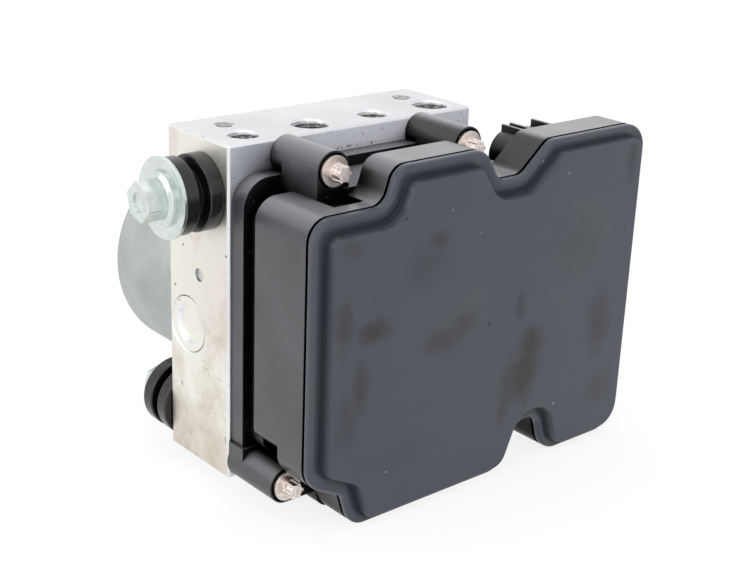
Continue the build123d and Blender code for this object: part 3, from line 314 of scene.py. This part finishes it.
# %% Aluminium, small marks
# centre (x, y, z), half sizes and strength, in millimetres, on the left face
marks = [
    ((-45, 7.5, 66.0), (2, 0.35, 0.45), 1.0),
    ((-45, 12.0, 52.5), (2, 0.5, 0.5), 0.8),
    ((-45, -14.0, 68.5), (2, 0.4, 0.45), 1.0),
    ((-45, 1.6, 72.0), (2, 0.45, 0.8), 0.8),
    ((-45, 10.5, 48.0), (2, 0.7, 0.35), 0.5),
    ((-45, 9.0, 22.0), (2, 0.6, 0.9), 0.45),
    ((-45, -3.5, 31.0), (2, 1.9, 0.25), 0.35),
    ((-45, -10.5, 30.2), (2, 1.2, 0.25), 0.35),
    ((-45, -13.6, 12.0), (2, 0.5, 1.4), 0.4),
]
colour = blend_colour(tree, spots(tree, marks), colour, linear("#6f5a49"))
seam_place, seam_reach = (-2.0, -15.0, 94.1), (13.0, 2.0, 0.42)
seam_soil = spot(tree, seam_place, seam_reach, 0.0, 0.7, 1.1)
crumbs = noise(tree, place(tree, (1, 1, 0.6)), 1300, 2, 0.5)
seam_soil = times(tree, seam_soil, band(tree, crumbs, 0.52, 0.6))
colour = blend_colour(tree, seam_soil, colour, linear("#2b2c33"))
print("made", len(marks), "small marks and the soil along the seam")

# %% Aluminium, painted shade in bores and corners, and paler edges from wear and painted highlight
# painted shade: bores and corners that see little sky are mixed to grey
colour = blend_colour(tree, openness(tree, 10.0, 0.15, 0.6), linear("#6a6b6f"), colour)
# paler edges: partly worn, partly a painted highlight on the small rounds
worn_and_highlit = times(tree, edge_wear_highlight(tree, 0.5 * MM), 0.6)
colour = blend_colour(tree, worn_and_highlit, colour, linear("#f7f7f6"))
tree.links.new(colour, shader.inputs["Base Color"])
print("edges rubbed")

# %% [markdown]
# Right of the first screw tower the front face stays pale although the black box stands
# before it. A surface that scatters light does that, where a mirror would turn black, so
# the metallic share falls to nothing there. The grain is two noises: one stretched along
# X for the cutter's marks and one along Z for the saw's.

# %% Aluminium, finish and grain
dull_from, dull_to = -30 * MM, -16 * MM
dull = times(tree, front_side, band(tree, along(tree, "X"), dull_from, dull_to))
tree.links.new(band(tree, dull, 0.0, 1.0, 1.0, 0.0), shader.inputs["Metallic"])
tree.links.new(band(tree, patches, 0.3, 0.8, 0.40, 0.55), shader.inputs["Roughness"])
grain = noise(tree, place(tree, (0.1, 1, 1)), 3600, 3, 0.6)
lines = noise(tree, place(tree, (1, 1, 0.04)), 1500, 2, 0.5)
relief = combine(tree, "ADD", grain, times(tree, lines, 0.7))
grain_depth = 0.012 * MM
soften(tree, shader, relief, grain_depth, 0.4 * MM)
print("made", block_metal.name)


# %% [markdown]
# ## Bare, plated and turned metals
# Bolts and washers are zinc plated: bright, with a faint green cast and small cloudy
# variations. The housing screws are plated in a warmer silver. One recipe covers them
# all: a base colour, a roughness range and a very shallow mottled bump.


# %% Metal recipe
def metal(name, pale, dark, rough_low, rough_high, per_metre=700, depth=0.01, edge=0.2):
    """Metal with cloudy colour between two values and a mottled bump, depth in mm."""
    material, tree, shader = new_material(name)
    cloud = noise(tree, place(tree), per_metre, 4, 0.6)
    colour = clouded(tree, cloud, 0.35, 0.7, pale, dark)
    tree.links.new(colour, shader.inputs["Base Color"])
    shader.inputs["Metallic"].default_value = 1.0
    tree.links.new(band(tree, cloud, 0.3, 0.7, rough_low, rough_high), shader.inputs["Roughness"])
    soften(tree, shader, cloud, depth * MM, edge * MM)
    return material


zinc = metal("zinc_plate", "#dbe3e0", "#cbd3d0", 0.2, 0.3, 260, 0.003, 0.3)
screw_metal = metal("warm_plate", "#f7efea", "#cabdb6", 0.3, 0.45, 900, 0.012, 0.2)
steel = metal("ground_steel", "#cfcfcd", "#b0b0ae", 0.2, 0.32)
spring = metal("spring_wire", "#8c8c90", "#6a6a6e", 0.3, 0.45)
turned = metal("turned_aluminium", "#dcdcda", "#c4c4c2", 0.3, 0.4)
copper = metal("copper_wire", "#c47a4c", "#a35c34", 0.3, 0.45)
bronze = metal("sintered_bronze", "#a98a58", "#8a6c40", 0.45, 0.6)
lamination = metal("lamination_steel", "#87888a", "#6b6c6e", 0.4, 0.5)
tin = metal("tinned_pins", "#d6d6d2", "#bcbcb8", 0.2, 0.3)
print("metals made")

# %% [markdown]
# ## Motor can
# The pump motor's can is drawn sheet steel with a matt pale coating. It reads as a flat
# grey with a very soft sheen, so it is half way between paint and metal: a metallic base
# with high roughness and a barely visible grain round it.

# %% Motor can
can_metal, tree, shader = new_material("matt_coated_steel")
cloud = noise(tree, place(tree), 60, 4, 0.6)
fine = noise(tree, place(tree), 2600, 2, 0.5)
colour = clouded(tree, cloud, 0.3, 0.75, "#b9bdbc", "#a5a9a8")
tree.links.new(colour, shader.inputs["Base Color"])
shader.inputs["Metallic"].default_value = 0.75
shader.inputs["Roughness"].default_value = 0.55
soften(tree, shader, fine, 0.01 * MM, 0.4 * MM)
print("made", can_metal.name)


# %% [markdown]
# ## Black moulded plastic
# The controller housing is glass-filled nylon: nearly black, satin, with the fine spark
# erosion texture of the mould. The same recipe serves every moulded or pressed black
# piece. What only the housing needs is added by a second function, given as dress.


# %% Plastic recipe
def plastic(name, base, rough_low, rough_high, grain_depth, dark=None, dress=None):
    """Moulded plastic: mould texture as a bump (mm) and a cloudy roughness."""
    material, tree, shader = new_material(name)
    cloud = noise(tree, place(tree), 45, 4, 0.6)
    fine = noise(tree, place(tree), 2600, 3, 0.6)
    colour = clouded(tree, cloud, 0.3, 0.7, base, dark or base)
    if dress:
        colour = dress(tree, shader, colour, fine)
    tree.links.new(colour, shader.inputs["Base Color"])
    tree.links.new(band(tree, cloud, 0.3, 0.7, rough_low, rough_high), shader.inputs["Roughness"])
    soften(tree, shader, fine, grain_depth * MM, 0.35 * MM)
    return material


board_mask = plastic("solder_mask", "#1f5a34", 0.25, 0.35, 0.01)
chip_black = plastic("chip_moulding", "#232323", 0.5, 0.6, 0.01)
carbon = plastic("pressed_carbon", "#2a2a2b", 0.55, 0.65, 0.02)
ferrite = plastic("sintered_ferrite", "#3a3a3b", 0.55, 0.65, 0.02)
print("plain plastics made")

# %% [markdown]
# ## The housing's dust, painted sheen and painted shade
# Whatever faces up is painted grey: partly dust, partly a painted sheen of the bright light above.
# The fronts and the wall of the dip get painted shade and stay black. Slots, corners and the notch
# get painted shade as well, so there both the colour and the reflection fall.


# %% Shade on the housing
def shaded(tree, shader, colour):
    """Painted shade on the fronts and the dip wall, grey tops of dust and painted sheen, and slots
    with painted shade that neither shine nor show colour.
    """
    # painted shade: surfaces facing the front are mixed towards black
    front = times(tree, facing(tree, (0, -1, 0)), 0.8)
    colour = blend_colour(tree, front, colour, linear("#101115"))
    # painted shade: corners and slots that see little sky within 32 mm turn near black
    colour = blend_colour(tree, openness(tree, 32.0, 0.3, 0.8), linear("#0a0a0c"), colour)
    # grey tops: partly dust, partly a painted sheen of the light above
    top = facing(tree, (0, 0, 1), 0.35, 1.0)
    colour = blend_colour(tree, top, colour, linear("#7f8185"))
    # painted shade on the slanted wall of the dip, which faces up and to the left
    dip_wall_shade = times(
        tree,
        facing(tree, (-0.75, 0, 0.66), 0.8, 0.97),
        band(tree, along(tree, "X"), 10 * MM, 20 * MM),
    )
    colour = blend_colour(tree, dip_wall_shade, colour, linear("#2c2d30"))
    # painted shade: slots and the lower notch lose their reflection and turn near black
    notch_place, notch_reach = (41.0, 0.0, 1.0), (9.0, 0.0, 9.5)
    notch = spot(tree, notch_place, notch_reach, 0.0, 0.9, 1.1)
    lit = combine(tree, "SUBTRACT", openness(tree, 12.0, 0.35, 0.85), notch)
    tree.links.new(band(tree, lit, 0.0, 1.0, 0.08, 0.5), shader.inputs["Specular IOR Level"])
    return blend_colour(tree, lit, linear("#040405"), colour)


print("shade ready")


# %% Paler edges from wear and painted highlight, and flecks on the housing
def used(tree, shader, colour, fine):
    """The shaded colour with paler edges, partly worn and partly painted highlight, and a few
    bright flecks of dust.
    """
    colour = shaded(tree, shader, colour)
    # paler edges: partly worn, partly a painted highlight on the small rounds
    rubbed_and_highlit = times(tree, edge_wear_highlight(tree, 0.4 * MM), 0.25)
    patchy_rubbed_and_highlit = times(tree, rubbed_and_highlit, band(tree, fine, 0.4, 0.6, 0.5, 1.0))
    colour = blend_colour(tree, patchy_rubbed_and_highlit, colour, linear("#8b9096"))
    flecks = noise(tree, place(tree), 1150, 1, 0.4)
    few = times(tree, band(tree, flecks, 0.74, 0.78), 0.15)
    return blend_colour(tree, few, colour, linear("#b9bcc0"))


housing_plastic = plastic("black_moulding", "#4f5054", 0.24, 0.36, 0.010, "#424347", used)
print("made", housing_plastic.name)


# %% [markdown]
# ## The lid's worn face
# The lid is the same black plastic, but its large face has been handled: greasy brownish
# smudges, a few fine scratches and small bright specks. The smudges are soft ellipses at
# fixed places on the face, broken up by noise. Each ellipse is a distance worked out from
# the Object coordinates, so it stays where it is on the real part.


# %% Lid smudges
# centre (x, y, z), half sizes and strength, in millimetres; y is left free
smudges = [
    ((-24.0, 0, 54.0), (5.5, 0, 3.6), 0.85),
    ((-34.5, 0, 58.0), (3.0, 0, 9.0), 0.6),
    ((-28.5, 0, 40.0), (3.0, 0, 8.0), 0.6),
    ((-33.0, 0, 30.0), (4.0, 0, 8.0), 0.45),
    ((-33.0, 0, 80.0), (4.0, 0, 3.0), 0.4),
    ((2.0, 0, 46.0), (8.0, 0, 4.0), 0.55),
    ((9.5, 0, 49.5), (5.0, 0, 3.0), 0.5),
    ((-1.5, 0, 76.0), (3.2, 0, 2.6), 0.6),
    ((-6.0, 0, 70.0), (7.0, 0, 7.0), 0.3),
    ((32.5, 0, 49.0), (1.8, 0, 4.5), 0.6),
    ((38.5, 0, 35.5), (5.0, 0, 5.5), 0.9),
    ((36.5, 0, 27.0), (6.5, 0, 8.5), 0.9),
    ((30.5, 0, 26.0), (5.0, 0, 5.5), 0.6),
    ((28.0, 0, 17.0), (2.5, 0, 5.0), 0.5),
    ((69.0, 0, 35.0), (5.0, 0, 9.5), 0.55),
    ((77.5, 0, 87.0), (2.2, 0, 6.0), 0.55),
    ((72.0, 0, 12.0), (6.0, 0, 6.0), 0.35),
    ((55.0, 0, 64.0), (12.0, 0, 9.0), 0.14),
    ((-8.0, 0, 14.0), (16.0, 0, 5.0), 0.12),
]
print(len(smudges), "smudges")

# %% Lid material, with painted shade in its grooves and corners
lid_plastic, tree, shader = new_material("worn_lid")
cloud = noise(tree, place(tree), 30, 5, 0.65, 0.4)
fine = noise(tree, place(tree), 2600, 3, 0.6)
wobble = band(tree, noise(tree, place(tree), 130, 4, 0.65, 0.6), 0.3, 0.7, -0.4, 0.4)
soiled = spots(tree, smudges, wobble, 0.35, 1.35)
base = clouded(tree, cloud, 0.36, 0.66, "#3a414f", "#42474e")
# painted shade: grooves and corners that see little sky within 5 mm turn darker
base = blend_colour(tree, openness(tree, 5.0, 0.4, 0.92), linear("#13161c"), base)
colour = blend_colour(tree, soiled, base, linear("#231e1c"))
print("base and smudges mixed")

# %% [markdown]
# Grit has left small bright nicks and dark pits on the lid, at fixed places, and a cloth
# has left faint level scratches. The raised edges are paler in broken lines: partly worn, partly a
# painted highlight.

# %% Lid specks and pits
specks = [
    ((39.8, -53, 91.7), (0.35, 0, 0.35), 1.0),
    ((49.0, -53, 87.3), (0.3, 0, 0.4), 1.0),
    ((-17.8, -53, 10.3), (0.4, 0, 0.35), 0.9),
    ((2.5, -53, 84.0), (0.3, 0, 0.3), 0.7),
    ((14.0, -53, 75.5), (0.35, 0, 0.3), 0.6),
    ((51.0, -53, 12.5), (0.4, 0, 0.5), 0.9),
]
pits = [
    ((77.5, -53, 64.5), (0.5, 0, 0.5), 0.9),
    ((-27.7, -53, 10.3), (0.4, 0, 0.4), 0.9),
    ((-14.5, -53, 84.5), (0.7, 0, 0.6), 0.9),
    ((19.7, -53, 46.4), (0.8, 0, 1.0), 0.8),
    ((5.0, -53, 10.0), (0.4, 0, 0.3), 0.9),
]
nicks = spots(tree, specks, 0.0, 0.5, 1.0)
dark_pits = spots(tree, pits, 0.0, 0.6, 1.0)
print(len(specks), "specks and", len(pits), "pits")

# %% Lid scratches, marks and paler edges from wear and painted highlight
scratch_place = place(tree, (0.05, 1, 1))
scratches = band(tree, noise(tree, scratch_place, 900, 2, 0.5), 0.74, 0.77, 0.0, 0.12)
colour = blend_colour(tree, scratches, colour, linear("#6f757e"))
colour = blend_colour(tree, nicks, colour, linear("#a9aeb6"))
colour = blend_colour(tree, dark_pits, colour, linear("#0c0c0d"))
# paler edges: partly worn, partly a painted highlight along the raised edges
rubbed_and_highlit = times(tree, edge_wear_highlight(tree, 0.45 * MM, 0.03, 0.16), 0.8)
patchy_rubbed_and_highlit = times(tree, rubbed_and_highlit, band(tree, cloud, 0.3, 0.6, 0.35, 1.0))
colour = blend_colour(tree, patchy_rubbed_and_highlit, colour, linear("#98a0ab"))
tree.links.new(colour, shader.inputs["Base Color"])
print("lid colour mixed")

# %% Lid finish
mottle = times(tree, soiled, 0.1)
rough = combine(tree, "ADD", band(tree, cloud, 0.3, 0.7, 0.32, 0.42), mottle)
tree.links.new(rough, shader.inputs["Roughness"])
soften(tree, shader, fine, 0.012 * MM, 0.3 * MM)
print("made", lid_plastic.name)

# %% [markdown]
# ## Rubber
# The grommets and seals are natural rubber: near black, satin, with a faint cloudy bloom. The
# raised rings look a little paler than the grooves because the grooves get painted shade, darkened
# by how little sky they see, so the rule works for every groove without naming its place.

# %% Rubber
rubber, tree, shader = new_material("grommet_rubber")
cloud = noise(tree, place(tree), 220, 4, 0.6)
colour = clouded(tree, cloud, 0.35, 0.75, "#18181a", "#262626")
# painted shade: grooves that see little sky within 12 mm turn black
colour = blend_colour(tree, openness(tree, 12.0, 0.3, 0.8), linear("#020202"), colour)
tree.links.new(colour, shader.inputs["Base Color"])
tree.links.new(band(tree, cloud, 0.3, 0.7, 0.16, 0.28), shader.inputs["Roughness"])
soften(tree, shader, cloud, 0.015 * MM, 0.4 * MM)
print("made", rubber.name)

# %% [markdown]
# ## Every node gets its material
# The solid model names a material slot for each node. One table sends each slot to a
# finish made above.

# %% Assign the materials
finishes = {
    "block_aluminium": block_metal,
    "turned_aluminium": turned,
    "bright_steel": steel,
    "spring_steel": spring,
    "motor_can_steel": can_metal,
    "zinc_steel": zinc,
    "screw_steel": screw_metal,
    "ferrite": ferrite,
    "lamination_steel": lamination,
    "bronze": bronze,
    "copper": copper,
    "carbon": carbon,
    "tinned_pins": tin,
    "black_plastic": housing_plastic,
    "lid_plastic": lid_plastic,
    "board_green": board_mask,
    "chip_black": chip_black,
    "seal_rubber": rubber,
    "grommet_rubber": rubber,
}
slot_of = {row["node"]: row["material_slot"] for row in frame["record"]["subparts"]}
for node_name, piece in parts.items():
    piece.data.materials.clear()
    piece.data.materials.append(finishes[slot_of[node_name]])
print("materials on", len(parts), "nodes")

# %% [markdown]
# ## Screw threads in the ports
# The four pipe ports on top and the two feed ports behind are tapped. A tap leaves a
# helical ridge, so each thread is one surface: a cylinder wall whose radius falls and
# rises along the axis, with the phase turned once per pitch. The ridge fades out at both
# ends, where it meets the bore of the solid model.


# %% Surface helpers
def keep(name, points, faces, material):
    """A smooth mesh from arrays, linked, coloured and riding on the fixed unit."""
    mesh = bpy.data.meshes.new(name)
    mesh.from_pydata(points.tolist(), [], faces.tolist())
    mesh.shade_smooth()
    mesh.set_sharp_from_angle(angle=radians(40))
    mesh.materials.append(material)
    piece = bpy.data.objects.new(name, mesh)
    bpy.context.scene.collection.objects.link(piece)
    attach(piece, "unit")
    return piece


def revolve(name, radii, heights, centre, axis, material):
    """Surface c + r(s,t) (cos t u + sin t v) + h(s) a, closed round t.

    radii is an array (s, t) in mm, heights an array (s) in mm, centre in mm.
    """
    a = np.array(axis, float)
    u = np.cross(a, [0.0, 0.0, 1.0] if abs(a[2]) < 0.9 else [1.0, 0.0, 0.0])
    u /= np.linalg.norm(u)
    v = np.cross(a, u)
    rows, steps = radii.shape
    t = np.arange(steps) * 2 * pi / steps
    ring = np.cos(t)[:, None] * u + np.sin(t)[:, None] * v
    points = radii[:, :, None] * ring + heights[:, None, None] * a + np.array(centre, float)
    here = np.arange(rows * steps).reshape(rows, steps)
    turned = np.roll(here, -1, axis=1)
    faces = np.stack([here[:-1], turned[:-1], turned[1:], here[1:]], axis=-1).reshape(-1, 4)
    return keep(name, points.reshape(-1, 3) * MM, faces, material)


def thread(name, centre, axis, radius, pitch, depth, start, length):
    """Tapped thread: r = radius - depth * ridge(z / pitch - t / 2 pi), faded at both ends."""
    steps, per_turn, gap = 72, 12, 0.02
    z = np.linspace(0, length, int(length / pitch * per_turn) + 1)
    t = np.arange(steps) / steps
    phase = (z[:, None] / pitch - t) % 1.0
    ridge = np.clip(1.5 - np.abs(4 * phase - 2) * 1.1, 0, 1)
    fade = np.clip(np.minimum(z, length - z) / (0.8 * pitch), 0, 1)[:, None]
    radii = radius - gap - depth * ridge * fade
    return revolve(name, radii, -start - z, centre, axis, thread_metal)


# darker than the block: painted shade for threads that sit deep in the bores
thread_metal = metal("freshly_cut_aluminium", "#c4c4c6", "#8b8b8e", 0.2, 0.32, 900, 0.004, 0.1)
print("surface helpers ready")

# %% Threads
# places in millimetres: across the block, then radius; the thread starts below the chamfer
ports = [(-34.0, 4.5), (-10.7, 5.5), (12.6, 4.5), (35.9, 5.5)]
port_row, block_top, block_back, feed_height = -6.3, 100.0, 15.0, 88.0
chamfer = 0.75
for number, (x, radius) in enumerate(ports):
    mouth = (x, port_row, block_top)
    thread(f"port_thread_{number + 1}", mouth, (0, 0, 1), radius, 1.0, 0.55, chamfer, 9.2)
for side, x in (("left", -23.3), ("right", 23.3)):
    mouth = (x, block_back, feed_height)
    thread(f"feed_thread_{side}", mouth, (0, 1, 0), 5.5, 1.25, 0.65, chamfer, 12.5)
print("threads cut:", len(ports) + 2)

# %% [markdown]
# ## Staked plugs
# Each cross drilling is closed by a pressed-in plug, and the metal round it is pushed
# over its rim with a ring punch. That leaves a dark centre, a bright ring and a second
# ring where the punch slipped. The plug face is a turned profile, slightly uneven.


# %% Plug faces
def plug_face(name, centre, axis, outer, drop, seed):
    """Turned profile of a staked plug: rim, punch groove, shoulder and dimple, in mm."""
    share = np.array([1.0, 0.93, 0.84, 0.76, 0.66, 0.52, 0.42, 0.34, 0.2, 0.01])
    level = np.array([0.0, 0.0, -0.55, -0.6, -0.05, -0.1, -0.55, -0.9, -1.0, -1.0]) * drop
    steps = 64
    t = np.arange(steps) * 2 * pi / steps
    rng = np.random.default_rng(seed)
    lobes = sum(rng.uniform(-0.012, 0.012) * np.cos(k * t + rng.uniform(0, 6)) for k in range(2, 7))
    radii = share[:, None] * outer * (1 + lobes[None, :] * (share[:, None] < 0.95))
    return revolve(name, radii, level, centre, axis, punched)


punched = metal("punched_steel", "#b9b6b2", "#77736f", 0.3, 0.5, 900, 0.02, 0.15)
print("plug faces ready")

# %% Plugs
plug_row, plug_level, plug_radius, plug_drop = 5.4, 99.97, 2.35, 0.16
for number, x in enumerate((-32.3, 34.5)):
    mouth = (x, plug_row, plug_level)
    plug_face(f"top_plug_{number + 1}", mouth, (0, 0, 1), plug_radius, plug_drop, number)
print("plugs dressed")

# %% [markdown]
# ## Camera
# The camera stands about 44 cm in front and to the left of the block, a little above it,
# with a lens of about 66 mm on a full frame. Its place and its small roll come from the
# perspective of the block's edges.

# %% Camera
camera_place = Vector((-248.163, -309.549, 194.439)) * MM
right = Vector((0.76185343, -0.64669211, 0.0369955))
up = Vector((0.19752734, 0.28633703, 0.93754683))
forward = Vector((0.61689732, 0.70696564, -0.34588622))
camera_data = bpy.data.cameras.new("portrait_camera")
camera_data.sensor_width, camera_data.lens = 36.0, 65.888
camera_data.clip_start = 10 * MM
camera = bpy.data.objects.new("portrait_camera", camera_data)
columns = (right.to_4d(), up.to_4d(), (-forward).to_4d(), camera_place.to_4d())
turned_axes = Matrix(columns).transposed()
turned_axes[3] = (0, 0, 0, 1)
camera.matrix_world = turned_axes
bpy.context.scene.collection.objects.link(camera)
bpy.context.scene.camera = camera
print("camera at", [round(v, 3) for v in camera_place])

# %% Colour handling
bpy.context.scene.view_settings.view_transform = "Standard"
print("view transform:", bpy.context.scene.view_settings.view_transform)

# %% [markdown]
# ## Floor, world and lamps
# A parts catalogue shows such a unit on a seamless white ground under large soft lamps. The
# ground shows white to the camera and in reflections, and keeps a faint shadow, because
# only part of its brightness is its own. One wide lamp stands high behind the object, so
# that the upward faces shine; one is at the left, and the front gets little.



# %% What the eye meets
def looked_at(tree):
    """1 for what the camera sees, straight or in a reflection, and 0 for the light it gives."""
    rays = add(tree, "ShaderNodeLightPath").outputs
    seen = combine(tree, "MAXIMUM", rays["Is Camera Ray"], rays["Is Glossy Ray"])
    return combine(tree, "MAXIMUM", seen, rays["Is Transmission Ray"])


print("ray test ready")

# %% Floor
floor_mesh = bpy.data.meshes.new("floor")
reach, lowest = 3.0, size_cad[0][2] - 0.3 * MM
corners = [(x * reach, y * reach, lowest) for x, y in ((-1, -1), (1, -1), (1, 1), (-1, 1))]
floor_mesh.from_pydata(corners, [], [(0, 1, 2, 3)])
floor = bpy.data.objects.new("floor", floor_mesh)
bpy.context.scene.collection.objects.link(floor)
floor_white, tree, shader = new_material("white_ground")
seen = looked_at(tree)
ground = blend_colour(tree, seen, linear("#e6e6e6"), linear("#7c7c7c"))
tree.links.new(ground, shader.inputs["Base Color"])
shader.inputs["Roughness"].default_value = 1.0
shader.inputs["Specular IOR Level"].default_value = 0.0
shader.inputs["Emission Color"].default_value = (1, 1, 1, 1)
own_light = 0.84
tree.links.new(times(tree, seen, own_light), shader.inputs["Emission Strength"])
floor_mesh.materials.append(floor_white)
print("floor at", round(lowest, 4))

# %% World
world = bpy.data.worlds.new("studio")
bpy.context.scene.world = world
world.use_nodes = True
tree = world.node_tree
background = tree.nodes["Background"]
background.inputs["Color"].default_value = (1, 1, 1, 1)
fill, white = 0.75, 1.0
strength = band(tree, looked_at(tree), 0.0, 1.0, fill, white)
tree.links.new(strength, background.inputs["Strength"])
print("world made")


# %% Lamps
def lamp(name, place_at, look_at, wide, tall, watts):
    """A rectangular soft lamp at place_at, turned to look_at, both in metres."""
    data = bpy.data.lights.new(name, "AREA")
    data.shape = "RECTANGLE"
    data.size, data.size_y, data.energy = wide, tall, watts
    item = bpy.data.objects.new(name, data)
    item.location = place_at
    item.rotation_euler = (Vector(look_at) - Vector(place_at)).to_track_quat("-Z", "Y").to_euler()
    bpy.context.scene.collection.objects.link(item)


middle = (0.0, 0.0, 0.05)
# name, place and size in metres, power in watts
lamps = [
    ("rear_lamp", (0.62, 0.75, 0.62), 1.3, 0.8, 0.9),
    ("top_lamp", (-0.1, 0.0, 1.1), 0.9, 0.9, 1.4),
    ("left_lamp", (-1.0, 0.25, 0.45), 0.8, 0.8, 3.6),
    ("front_lamp", (-0.3, -1.2, 0.6), 0.7, 0.7, 2.0),
]
for name, lamp_place, wide, tall, watts in lamps:
    lamp(name, lamp_place, middle, wide, tall, watts)
print("lamps placed:", len(lamps))
